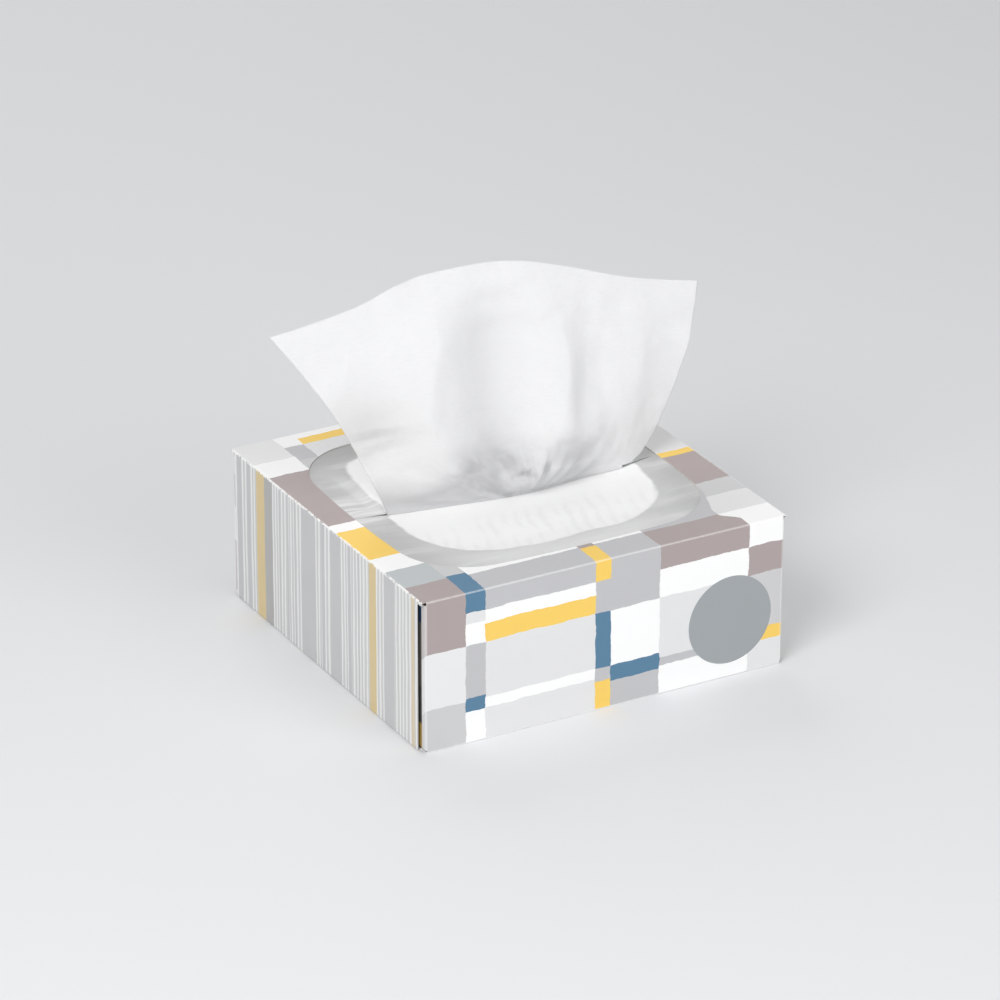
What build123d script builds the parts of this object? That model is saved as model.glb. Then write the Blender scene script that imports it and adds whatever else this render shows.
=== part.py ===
from build123d import *
import os
from math import cos, exp, pi

# A flat, square tissue box with one sheet raised through its window, in millimetres.
# X runs along the slit, Y from the front panel to the back, and Z up. The origin is the
# middle of the underside, on the surface that the box stands on.

# Outside of the box
box_length = 237.0
box_width = 236.0
box_height = 94.0

# Paperboard
board = 0.5
crease_radius = 0.5  # inside a fold
seam_tab = 16.0  # up the inside of the back panel
seam_lift = 0.4  # raw lower edge of the back panel above the underside

# End flaps, from the outermost to the innermost
outer_flap_inset = 6.0  # raw side edge to the vertical corner
outer_flap_lift = 0.6  # raw lower edge above the underside
inner_flap_height = 58.0
inner_flap_inset = 7.0
inner_flap_taper = 7.0
dust_flap_setback = 0.8  # behind the inner flap, which leaves a dark slot at each corner
dust_flap_length = 74.0
dust_flap_inset = 2.0
dust_flap_taper = 9.0
flap_corner_radius = 6.0

# Window in the top panel, each side bowed outwards
window_length = 196.0
window_width = 187.0
window_bow = 5.0
window_corner_radius = 44.0
window_shift_x = -2.0
window_shift_y = -2.0

# Film glued under the top panel, slit along X
film_thickness = 0.2
film_glue_margin = 9.0
slit_length = 188.0
slit_opening = 8.0
slit_y = -13.0

# Stack of interfolded sheets, crowned on top
stack_side_gap = 5.0
stack_end_gap = 5.0
stack_head_gap = 2.6  # film to the highest sheet
crown_length = 156.0
crown_width = 150.0
crown_fall = 8.0
crown_shift_y = -3.0

# Raised sheet
sheet_thickness = 0.5
gather_width = 150.0  # sheet's width where it stands in the slit
gather_shift_x = -6.0
gather_thickness = 1.0  # its pleats pressed together there
bend_radius = 0.6
tail_gap = 0.3  # tail to the stack
tail_length = 66.0  # part that still lies on the stack, behind the slit
corner_rise = 106.0  # upper corners above the top panel
crest_rise = 135.0  # highest point of the upper edge above the top panel
corner_span = 253.0
corner_shift_x = -8.0
left_bow = -0.4  # the left side flares late, near its corner
right_bow = 0.95  # the right side flares early, near the slit
lean = 20.0  # upper corners stand back from the slit, on average
turn = 40.0  # left corner stands further back than the right one
lobe_depth = 4.5
lobe_pitch = 0.78  # share of half the sheet's width
lobe_shift = 0.42  # share of half the sheet's width to the deepest lobe
lobe_height = 120.0
pleat_depth = 1.0
pleat_pitch = 0.35  # share of half the sheet's width
pleat_height = 14.0
rows_up = [0.0, 0.05, 0.11, 0.2, 0.35, 0.55, 0.78, 1.0]  # shares of the sheet's height
points_across = 41

# Places that follow from the sizes
half_length = box_length / 2
half_width = box_width / 2
crease_outer = crease_radius + board
inner_flap_x = half_length - board
dust_flap_x = inner_flap_x - board - dust_flap_setback
fold_leg = 2 * crease_outer
film_underside = box_height - board - film_thickness
stack_top = film_underside - stack_head_gap
stack_half_length = dust_flap_x - board - stack_end_gap
stack_half_width = half_width - board - stack_side_gap


def bent_strip(plane, corners, width, thickness=board, bend=crease_radius):
    """Fold a strip along corners, its outer face on that line and its body to the left."""
    with BuildSketch(plane) as section:
        with BuildLine():
            FilletPolyline(*corners, radius=bend + thickness)
            offset(amount=thickness, side=Side.LEFT)
        make_face()
    extrude(section.sketch, amount=width / 2, both=True)


def end_flap(outer_x, corners):
    """Cut a flap whose outer face stands at outer_x, with its last two corners rounded."""
    with BuildSketch(Plane.YZ.offset(min(outer_x, outer_x - board * outer_x / abs(outer_x)))) as outline:
        with BuildLine():
            Polyline(*corners, close=True)
        make_face()
        tips = [outline.vertices().sort_by_distance(corner)[0] for corner in corners[2:]]
        fillet(tips, radius=flap_corner_radius)
    extrude(outline.sketch, amount=board)


with BuildPart() as carton:
    # Panels wrapped round the stack, and the seam tab glued inside the back panel
    wrap_length = 2 * (dust_flap_x - crease_outer)
    back_line = [(half_width, seam_lift), (half_width, box_height)]
    front_line = [(-half_width, box_height), (-half_width, 0), (0, 0)]
    bent_strip(Plane.YZ, back_line + front_line, wrap_length)
    seam_y = half_width - board
    bent_strip(Plane.YZ, [(0, 0), (seam_y, 0), (seam_y, seam_tab)], wrap_length)

    # Outer flaps hang from a full-width crease of the top panel over each end
    for flap_end, strip_width in (
        (box_height - fold_leg, box_width - 2 * crease_outer),
        (outer_flap_lift, box_width - 2 * outer_flap_inset),
    ):
        outer_line = [(half_length, flap_end), (half_length, box_height)]
        outer_line += [(-x, z) for x, z in reversed(outer_line)]
        bent_strip(Plane.XZ, outer_line, strip_width)

    # Inner flaps stand up from the bottom panel
    inner_line = [(-inner_flap_x, fold_leg), (-inner_flap_x, 0), (inner_flap_x, 0), (inner_flap_x, fold_leg)]
    inner_half = half_width - inner_flap_inset
    bent_strip(Plane.XZ, inner_line, 2 * inner_half)
    for end in (-1, 1):
        end_flap(
            end * inner_flap_x,
            [
                (-inner_half, crease_outer),
                (inner_half, crease_outer),
                (inner_half - inner_flap_taper, inner_flap_height),
                (inner_flap_taper - inner_half, inner_flap_height),
            ],
        )

    # Dust flaps fold in from the front and back panels
    for side in (-1, 1):
        leg_y = half_width - fold_leg
        dust_line = [(-dust_flap_x, -leg_y), (-dust_flap_x, -half_width)]
        dust_line += [(-x, y) for x, y in reversed(dust_line)]
        dust_plane = Plane((0, 0, box_height / 2), z_dir=(0, 0, 1), x_dir=(-side, 0, 0))
        bent_strip(dust_plane, dust_line, box_height - 2 * dust_flap_inset)
        low = dust_flap_inset
        high = box_height - dust_flap_inset
        tip_y = side * (half_width - dust_flap_length)
        for end in (-1, 1):
            end_flap(
                end * dust_flap_x,
                [
                    (side * (half_width - crease_outer), low),
                    (side * (half_width - crease_outer), high),
                    (tip_y, high - dust_flap_taper),
                    (tip_y, low + dust_flap_taper),
                ],
            )

    # Window torn out of the top panel along its perforation
    with BuildSketch(Plane((window_shift_x, window_shift_y, box_height))) as window:
        corner_x = window_length / 2 - window_bow
        corner_y = window_width / 2 - window_bow
        with BuildLine():
            ThreePointArc((-corner_x, -corner_y), (0, -window_width / 2), (corner_x, -corner_y))
            ThreePointArc((corner_x, -corner_y), (window_length / 2, 0), (corner_x, corner_y))
            ThreePointArc((corner_x, corner_y), (0, window_width / 2), (-corner_x, corner_y))
            ThreePointArc((-corner_x, corner_y), (-window_length / 2, 0), (-corner_x, -corner_y))
        make_face()
        fillet(window.vertices(), radius=window_corner_radius)
    extrude(amount=-board, mode=Mode.SUBTRACT)

with BuildPart() as window_film:
    with BuildSketch(Plane((window_shift_x, window_shift_y, film_underside))):
        Rectangle(window_length + 2 * film_glue_margin, window_width + 2 * film_glue_margin)
    extrude(amount=film_thickness)

    # Slit pushed open by the raised sheet, pointed at both ends
    with BuildSketch(Plane((window_shift_x, slit_y, film_underside))):
        with BuildLine():
            ThreePointArc((-slit_length / 2, 0), (0, slit_opening / 2), (slit_length / 2, 0))
            ThreePointArc((slit_length / 2, 0), (0, -slit_opening / 2), (-slit_length / 2, 0))
        make_face()
    extrude(amount=film_thickness, mode=Mode.SUBTRACT)


def crowned_side(plane, half_span, crown_from, crown_to, depth, mode):
    """Give the stack its flat-topped arch, seen along one axis."""
    with BuildSketch(plane) as arch:
        with BuildLine():
            shoulder = stack_top - crown_fall
            TangentArc((crown_to, stack_top), (half_span, shoulder), tangent=(1, 0))
            Polyline((half_span, shoulder), (half_span, board), (-half_span, board), (-half_span, shoulder))
            TangentArc((crown_from, stack_top), (-half_span, shoulder), tangent=(-1, 0))
            Line((crown_from, stack_top), (crown_to, stack_top))
        make_face()
    extrude(arch.sketch, amount=depth, both=True, mode=mode)


with BuildPart() as tissue_stack:
    crowned_side(Plane.XZ, stack_half_length, -crown_length / 2, crown_length / 2, stack_half_width, Mode.ADD)
    front_of_crown = crown_shift_y - crown_width / 2
    back_of_crown = crown_shift_y + crown_width / 2
    crowned_side(
        Plane.YZ, stack_half_width, front_of_crown, back_of_crown, stack_half_length, Mode.INTERSECT
    )


def swell(rise, height):
    """Rise from nothing at the slit to 1 at height, and die away above it."""
    return rise / height * exp(1 - rise / height)


def side_x(share, foot_x, corner_x, bow):
    """Run a side of the sheet from the slit to its upper corner, bowed outwards or inwards."""
    return foot_x + (corner_x - foot_x) * share * (1 + bow * (1 - share))


def sheet_point(across, rise):
    """Place a point on the back of the raised sheet, from -1 to 1 across, above the top panel."""
    share = rise / corner_rise
    left_x = side_x(share, gather_shift_x - gather_width / 2, corner_shift_x - corner_span / 2, left_bow)
    right_x = side_x(share, gather_shift_x + gather_width / 2, corner_shift_x + corner_span / 2, right_bow)
    x = left_x + (right_x - left_x) * (across + 1) / 2
    lobe = lobe_depth * swell(rise, lobe_height) * cos(2 * pi * (across - lobe_shift) / lobe_pitch)
    pleat = pleat_depth * swell(rise, pleat_height) ** 2 * cos(2 * pi * across / pleat_pitch)
    y = slit_y + sheet_thickness / 2 + share * (lean - turn * across / 2) - lobe
    return (x, y - pleat * (1 - across**2) ** 2, box_height + rise)


with BuildPart() as raised_tissue:
    # Standing part, from pleats at the slit into three soft lobes below its upper edge
    columns = []
    for index in range(points_across):
        across = 2 * index / (points_across - 1) - 1
        edge_rise = corner_rise + (crest_rise - corner_rise) * (1 + cos(pi * across)) / 2
        root = Vector(sheet_point(across, 0)) - (0, 0, gather_thickness / 2)
        columns.append([root] + [Vector(sheet_point(across, row * edge_rise)) for row in rows_up])
    sheet = Face.make_surface_from_array_of_points(columns, min_deg=3)
    extrude(sheet, amount=sheet_thickness, dir=(0, -1, 0))

    # Pleats pressed together in the slit, and the tail bent back under the film
    front_y = slit_y - gather_thickness / 2
    tail_z = stack_top + tail_gap
    bent_strip(
        Plane.YZ.offset(gather_shift_x),
        [(front_y, box_height), (front_y, tail_z), (slit_y + tail_length, tail_z)],
        gather_width + 2 * gather_thickness,
        gather_thickness,
        bend_radius,
    )

carton.part.label = "carton"
window_film.part.label = "window_film"
tissue_stack.part.label = "tissue_stack"
raised_tissue.part.label = "raised_tissue"

os.makedirs("parts", exist_ok=True)
export_step(carton.part, "parts/carton.step")
export_step(window_film.part, "parts/window_film.step")
export_step(tissue_stack.part, "parts/tissue_stack.step")
export_step(raised_tissue.part, "parts/raised_tissue.step")
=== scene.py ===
"""Dresses a packed tissue box: printed board, frosted film, interfolded sheets and one raised sheet."""

import math

import bpy
from mathutils import Matrix, Vector, noise


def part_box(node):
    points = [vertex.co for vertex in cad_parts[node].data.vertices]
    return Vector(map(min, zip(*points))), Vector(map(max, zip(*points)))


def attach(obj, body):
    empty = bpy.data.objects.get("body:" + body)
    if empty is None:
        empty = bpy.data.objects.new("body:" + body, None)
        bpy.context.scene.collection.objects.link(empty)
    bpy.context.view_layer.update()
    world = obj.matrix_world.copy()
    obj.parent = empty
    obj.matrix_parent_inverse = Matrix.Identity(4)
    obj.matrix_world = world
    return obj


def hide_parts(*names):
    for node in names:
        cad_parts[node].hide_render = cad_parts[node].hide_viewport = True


bl_info = {
    "name": "Tissue Box",
    "version": (1, 0, 0),
    "blender": (4, 5, 0),
    "location": "View3D > Sidebar > Tissue Box",
    "description": "Prints a flat tissue box, films its window and raises one sheet through the slit",
    "category": "Object",
}

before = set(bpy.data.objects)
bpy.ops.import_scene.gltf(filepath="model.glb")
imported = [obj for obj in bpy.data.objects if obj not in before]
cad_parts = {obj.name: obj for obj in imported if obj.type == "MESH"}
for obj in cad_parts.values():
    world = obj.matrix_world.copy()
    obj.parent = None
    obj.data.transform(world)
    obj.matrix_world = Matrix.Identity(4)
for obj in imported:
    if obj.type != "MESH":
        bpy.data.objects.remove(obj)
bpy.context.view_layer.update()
_, CARTON_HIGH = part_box("carton")
FILM_LOW, FILM_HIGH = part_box("window_film")
STACK_LOW, STACK_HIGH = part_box("tissue_stack")

MM = 0.001
HALF_LENGTH = CARTON_HIGH.x
HALF_WIDTH = CARTON_HIGH.y
HEIGHT = CARTON_HIGH.z
WINDOW_CENTRE = Vector((-2 * MM, -2 * MM))
WINDOW_HALF = Vector((98 * MM, 93.5 * MM))
WINDOW_ROUNDNESS = 4.5
SLIT_Y = -13 * MM
SLIT_HALF = 94 * MM

# Print in millimetres: the last column's left edge, and the middle of the front panel's round field
LAST_COLUMN = 93.5
DISC_X = 81.5
DISC_Z = 36.4

# Raised sheet in millimetres: its foot in the slit, the rise of its upper corners above the top panel,
# its tail under the film, and the depths that its folds and creases were drawn for
FOOT_LEFT = -80
FOOT_WIDTH = 151
CORNER_RISE = 106
TAIL_LENGTH = 64
FOLD_DEPTH = 8.8
CRUMPLE_HEIGHT = 2.6

# Camera that took the photograph: sensor and focal length in millimetres, place in metres, and directions
SENSOR_WIDTH = 36
FOCAL_LENGTH = 192.03
CAMERA_PLACE = Vector((-1.3696, -2.4386, 1.3941))
CAMERA_RIGHT = Vector((0.8729, -0.4879, 0.0021))
CAMERA_FORWARD = Vector((0.4425, 0.7898, -0.4247))
LAMPS_AIM = Vector((0, 0, 0.08))


def paint(red, green, blue):
    """Give the scene-linear colour of a print made from parts of 0 to 255."""
    parts = (part / 255 for part in (red, green, blue))
    return (*(p / 12.92 if p <= 0.04045 else ((p + 0.055) / 1.055) ** 2.4 for p in parts), 1.0)


def colour(name, description, red, green, blue):
    """Make a colour property from a print's parts."""
    return bpy.props.FloatVectorProperty(
        name=name,
        description=description,
        size=4,
        subtype="COLOR",
        min=0,
        max=1,
        default=paint(red, green, blue),
    )


def length(name, description, millimetres):
    """Make a length property from millimetres."""
    return bpy.props.FloatProperty(
        name=name,
        description=description,
        default=millimetres * MM,
        min=0,
        subtype="DISTANCE",
        unit="LENGTH",
    )


def share(name, description, default):
    """Make a property that runs from 0 to 1."""
    return bpy.props.FloatProperty(
        name=name, description=description, default=default, min=0, max=1, subtype="FACTOR"
    )


def power(name, description, watts):
    """Make a lamp's power property."""
    return bpy.props.FloatProperty(name=name, description=description, default=watts, min=0, unit="POWER")


class PrintSettings(bpy.types.PropertyGroup):
    white: colour("White", "Unprinted white of the coated board", 254, 254, 254)
    pale_grey: colour("Pale grey", "Palest grey field", 235, 235, 236)
    light_grey: colour("Light grey", "Light grey fields", 230, 230, 231)
    mid_grey: colour("Mid grey", "Grey fields and bands", 196, 196, 199)
    soft_grey: colour("Soft grey", "Grey blocks at the corners", 207, 207, 208)
    cool_grey: colour("Cool grey", "Slightly green grey fields", 192, 197, 199)
    taupe: colour("Taupe", "Brown grey fields", 175, 163, 162)
    yellow: colour("Yellow", "Yellow bands", 251, 211, 106)
    blue: colour("Blue", "Blue blocks", 91, 131, 160)
    mustard: colour("Mustard", "Yellow stripes of the ends", 222, 202, 156)
    end_light: colour("End light", "Light stripes of the ends, under their drawn lines", 211, 211, 211)
    end_line: colour("End line", "White lines drawn on the ends", 240, 240, 240)
    end_grey: colour("End grey", "Grey stripes of the ends", 203, 203, 205)
    disc_grey: colour("Disc grey", "Plain round field on the front", 162, 167, 170)
    raw_board: colour("Raw board", "Uncoated inside and cut edges of the board", 226, 222, 214)
    wobble: length("Wobble", "How far the hand-drawn edges stray", 2.4)
    line_pitch: length("Line pitch", "From one drawn line of the ends to the next", 3.9)
    disc_radius: length("Disc radius", "Radius of the plain round field", 27.5)


class FilmSettings(bpy.types.PropertyGroup):
    # Painted shade: the slack film's grey and its deeper grey stand in for the shade in the box beneath
    tint: colour("Tint", "Film where it stands off the sheets", 229, 229, 229)
    painted_deep_shade: colour("Deep tint", "Film at the window's ends and back rim", 188, 189, 188)
    touching_tint: colour("Touching tint", "Film where it lies on the sheets", 254, 254, 254)
    opacity: share("Opacity", "How much of what is below the film hides", 0.82)
    front_sag: length("Front sag", "How far the film sags in front of the slit", 2.1)
    back_sag: length("Back sag", "How far the film sags behind the slit", 0.9)
    lip_rise: length("Lip rise", "How far the slit's edges are pushed up", 1.4)
    tail_rise: length("Tail rise", "How far the raised sheet's tail lifts the film at its left side", 2.6)


class StackSettings(bpy.types.PropertyGroup):
    tissue: colour("Tissue", "Bleached tissue", 250, 250, 250)
    layer: length("Layer", "Height of one folded layer", 1.5)
    rib: length("Rib", "Height of the embossed ribs", 0.12)


class SheetSettings(bpy.types.PropertyGroup):
    tissue: colour("Tissue", "Bleached tissue", 244, 244, 245)
    translucency: share("Translucency", "How much light passes through the sheet", 0.16)
    fold_depth: length("Fold depth", "Depth of the deepest soft fold", FOLD_DEPTH)
    belly: length("Belly", "How far the sheet stands forward just above the slit", 13)
    crumple: length("Crumple", "Height of the creases where the sheet is gathered", CRUMPLE_HEIGHT)
    thickness: length("Thickness", "Two plies of crepe", 0.4)


class StageSettings(bpy.types.PropertyGroup):
    floor: colour("Floor", "Pale floor", 231, 232, 234)
    key_power: power("Key light", "Power of the soft lamp on the left", 27)
    fill_power: power("Fill light", "Power of the lamp in front", 15.4)
    back_power: power("Back light", "Power of the lamp behind the raised sheet", 9)
    sky: share("Sky light", "Strength of the even light from all round", 0.4)


class Wiring:
    """Shader nodes of one material or of the world."""

    def __init__(self, owner):
        owner.use_nodes = True
        self.owner = owner
        self.tree = owner.node_tree
        self.tree.nodes.clear()

    def node(self, kind, inputs=(), **settings):
        made = self.tree.nodes.new(kind)
        for key, value in settings.items():
            setattr(made, key, value)
        for key, value in dict(inputs).items():
            if isinstance(value, bpy.types.NodeSocket):
                self.tree.links.new(value, made.inputs[key])
            else:
                made.inputs[key].default_value = value
        return made

    def math(self, operation, *values, clamp=False):
        made = self.node("ShaderNodeMath", enumerate(values), operation=operation, use_clamp=clamp)
        return made.outputs[0]

    def above(self, value, limit):
        return self.math("GREATER_THAN", value, limit)

    def below(self, value, limit):
        return self.math("LESS_THAN", value, limit)

    def both(self, first, second):
        return self.math("MULTIPLY", first, second)

    def off(self, value, centre):
        """How far the value is from the centre, on either side."""
        return self.math("ABSOLUTE", self.math("SUBTRACT", value, centre))

    def ratio(self, value, centre, reach):
        """Distance from the centre, with its sign, as a share of the reach."""
        return self.math("DIVIDE", self.math("SUBTRACT", value, centre), reach)

    def bell(self, *ratios):
        """1 where every ratio is 0, falling away smoothly as they grow."""
        total = self.both(ratios[0], ratios[0])
        for value in ratios[1:]:
            total = self.math("ADD", total, self.both(value, value))
        return self.math("EXPONENT", self.both(-1.0, total))

    def rounded(self, first, first_power, second, second_power):
        """1 on a rounded box whose sides lie where either ratio is 1, and less inside it."""
        first = self.math("POWER", self.math("ABSOLUTE", first), first_power)
        second = self.math("POWER", self.math("ABSOLUTE", second), second_power)
        return self.math("ADD", first, second)

    def soft_step(self, value, start, end):
        made = self.node(
            "ShaderNodeMapRange",
            {"Value": value, "From Min": start, "From Max": end},
            interpolation_type="SMOOTHSTEP",
        )
        return made.outputs[0]

    def mix(self, amount, first, second, blend="MIX"):
        inputs = {0: amount, 6: first, 7: second}
        return self.node("ShaderNodeMix", inputs, data_type="RGBA", blend_type=blend).outputs[2]

    def fields(self, value, span, stops):
        """Colour bands, each from its own place along the span, with sharp edges."""
        made = self.node("ShaderNodeValToRGB", {0: self.math("DIVIDE", value, span)})
        made.color_ramp.interpolation = "CONSTANT"
        bands = made.color_ramp.elements
        bands.remove(bands[1])
        bands[0].position = 0
        bands[0].color = stops[0][1]
        for place, tint in stops[1:]:
            bands.new(place / span).color = tint
        return made.outputs[0]

    def noise(self, vector, scale, detail=2.0, roughness=0.5):
        made = self.node(
            "ShaderNodeTexNoise",
            {"Vector": vector, "Scale": scale, "Detail": detail, "Roughness": roughness},
        )
        return made.outputs[0]

    def stretched(self, x, x_scale, y, y_scale, seed, detail, roughness=0.5):
        """Noise with its own scale each way."""
        place = self.vector(self.both(x, x_scale), self.both(y, y_scale), seed)
        return self.noise(place, 1.0, detail, roughness)

    def strayed(self, value, drift, reach):
        """The value moved by a noise of 0 to 1, by up to half the reach either way."""
        return self.math("MULTIPLY_ADD", self.math("SUBTRACT", drift, 0.5), reach, value)

    def vector(self, x, y, z):
        return self.node("ShaderNodeCombineXYZ", {0: x, 1: y, 2: z}).outputs[0]

    def place(self):
        """The point on the object in millimetres, as a vector and its three parts."""
        point = self.node("ShaderNodeTexCoord").outputs["Object"]
        scaled = self.node("ShaderNodeVectorMath", {0: point, 3: 1 / MM}, operation="SCALE").outputs[0]
        return scaled, *self.node("ShaderNodeSeparateXYZ", {0: scaled}).outputs[:3]

    def bump(self, height, distance, strength=1.0):
        made = self.node("ShaderNodeBump", {"Strength": strength, "Distance": distance, "Height": height})
        return made.outputs[0]

    def finish(self, shader, output="ShaderNodeOutputMaterial"):
        self.node(output, {0: shader.outputs[0]})
        return self.owner


def front_to_back(y):
    """Place on the wrapped print of a line on the top panel, from the box's lower front edge."""
    return (HEIGHT + HALF_WIDTH) / MM + y


def print_columns(p):
    """Colour fields of the wrapped print, column by column: left edge, then each field's start."""
    top = front_to_back
    return [
        (None, [
            (0, p.soft_grey), (26.5, p.pale_grey), (60.5, p.taupe), (top(-97), p.cool_grey),
            (top(-74), p.white), (top(-55.5), p.yellow), (top(-15.5), p.white), (top(-5), p.taupe),
            (top(69), p.white), (top(89), p.pale_grey), (344, p.mid_grey), (366, p.white),
            (386, p.taupe),
        ]),
        (-91, [
            (0, p.white), (19, p.blue), (27, p.mid_grey), (60, p.white), (73, p.light_grey),
            (81, p.blue), (top(-96), p.soft_grey), (top(82.5), p.mid_grey), (top(101.5), p.white),
            (343, p.blue), (352, p.light_grey), (384, p.mid_grey), (404, p.blue),
        ]),
        (-78.5, [
            (0, p.light_grey), (19, p.white), (26.5, p.light_grey), (61, p.yellow), (72, p.white),
            (81, p.mid_grey), (top(-98.5), p.white), (top(0), p.light_grey), (top(102.5), p.yellow),
            (top(110.5), p.white), (337, p.mid_grey), (358, p.light_grey), (392, p.white),
        ]),
        (-7.5, [
            (0, p.yellow), (17.4, p.mid_grey), (26.5, p.blue), (60.8, p.mid_grey), (80.5, p.yellow),
            (top(-100), p.taupe), (top(-93), p.white), (top(102.5), p.mid_grey), (top(110.5), p.yellow),
            (341, p.mid_grey), (359, p.blue), (392, p.yellow),
        ]),
        (2.5, [
            (0, p.mid_grey), (15.8, p.blue), (25.7, p.white), (60.3, p.mid_grey), (top(-98.8), p.white),
            (top(0), p.mid_grey), (345, p.white), (386, p.blue), (394, p.mid_grey),
        ]),
        (34.5, [
            (0, p.white), (17, p.mid_grey), (22.8, p.light_grey), (60, p.white), (79, p.taupe),
            (top(-98), p.mid_grey), (top(0), p.light_grey), (top(103), p.white), (346, p.taupe),
            (370, p.white), (398, p.light_grey), (406, p.mid_grey),
        ]),
        (LAST_COLUMN, [
            (0, p.light_grey), (17.3, p.yellow), (25.5, p.soft_grey), (60, p.taupe), (78, p.white),
            (top(-99), p.light_grey), (top(-76), p.soft_grey), (top(-57), p.taupe),
            (top(-17), p.yellow), (top(-11), p.light_grey), (top(60), p.white), (top(96), p.mid_grey),
            (345, p.white), (372, p.taupe), (400, p.yellow),
        ]),
    ]


def end_stripes(p):
    """Upright stripes of the box's ends: each one's start from the front corner, and its colour."""
    bare = p.end_light
    grey = p.end_grey
    return [
        (0, bare), (9, paint(222, 208, 182)), (12.5, bare), (33, grey), (45, bare), (54, p.mustard),
        (62.5, bare), (74, grey), (76.5, bare), (84.5, grey), (88, bare), (96, grey), (109, bare),
        (117, grey), (120, bare), (127.8, grey), (145.5, bare), (152.8, grey), (154.2, bare), (162, grey),
        (164, bare), (172, grey), (173.8, bare), (182, paint(183, 182, 181)), (191.8, p.mustard),
        (202, bare), (211, grey), (214, bare), (222, grey), (227, bare),
    ]


def light_stripes(p):
    """The same stripes as a mask: 1 where drawn lines show, on the light ones."""
    light = (1.0, 1.0, 1.0, 1.0)
    dark = (0.0, 0.0, 0.0, 1.0)
    return [(start, light if tint == p.end_light else dark) for start, tint in end_stripes(p)]


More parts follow.
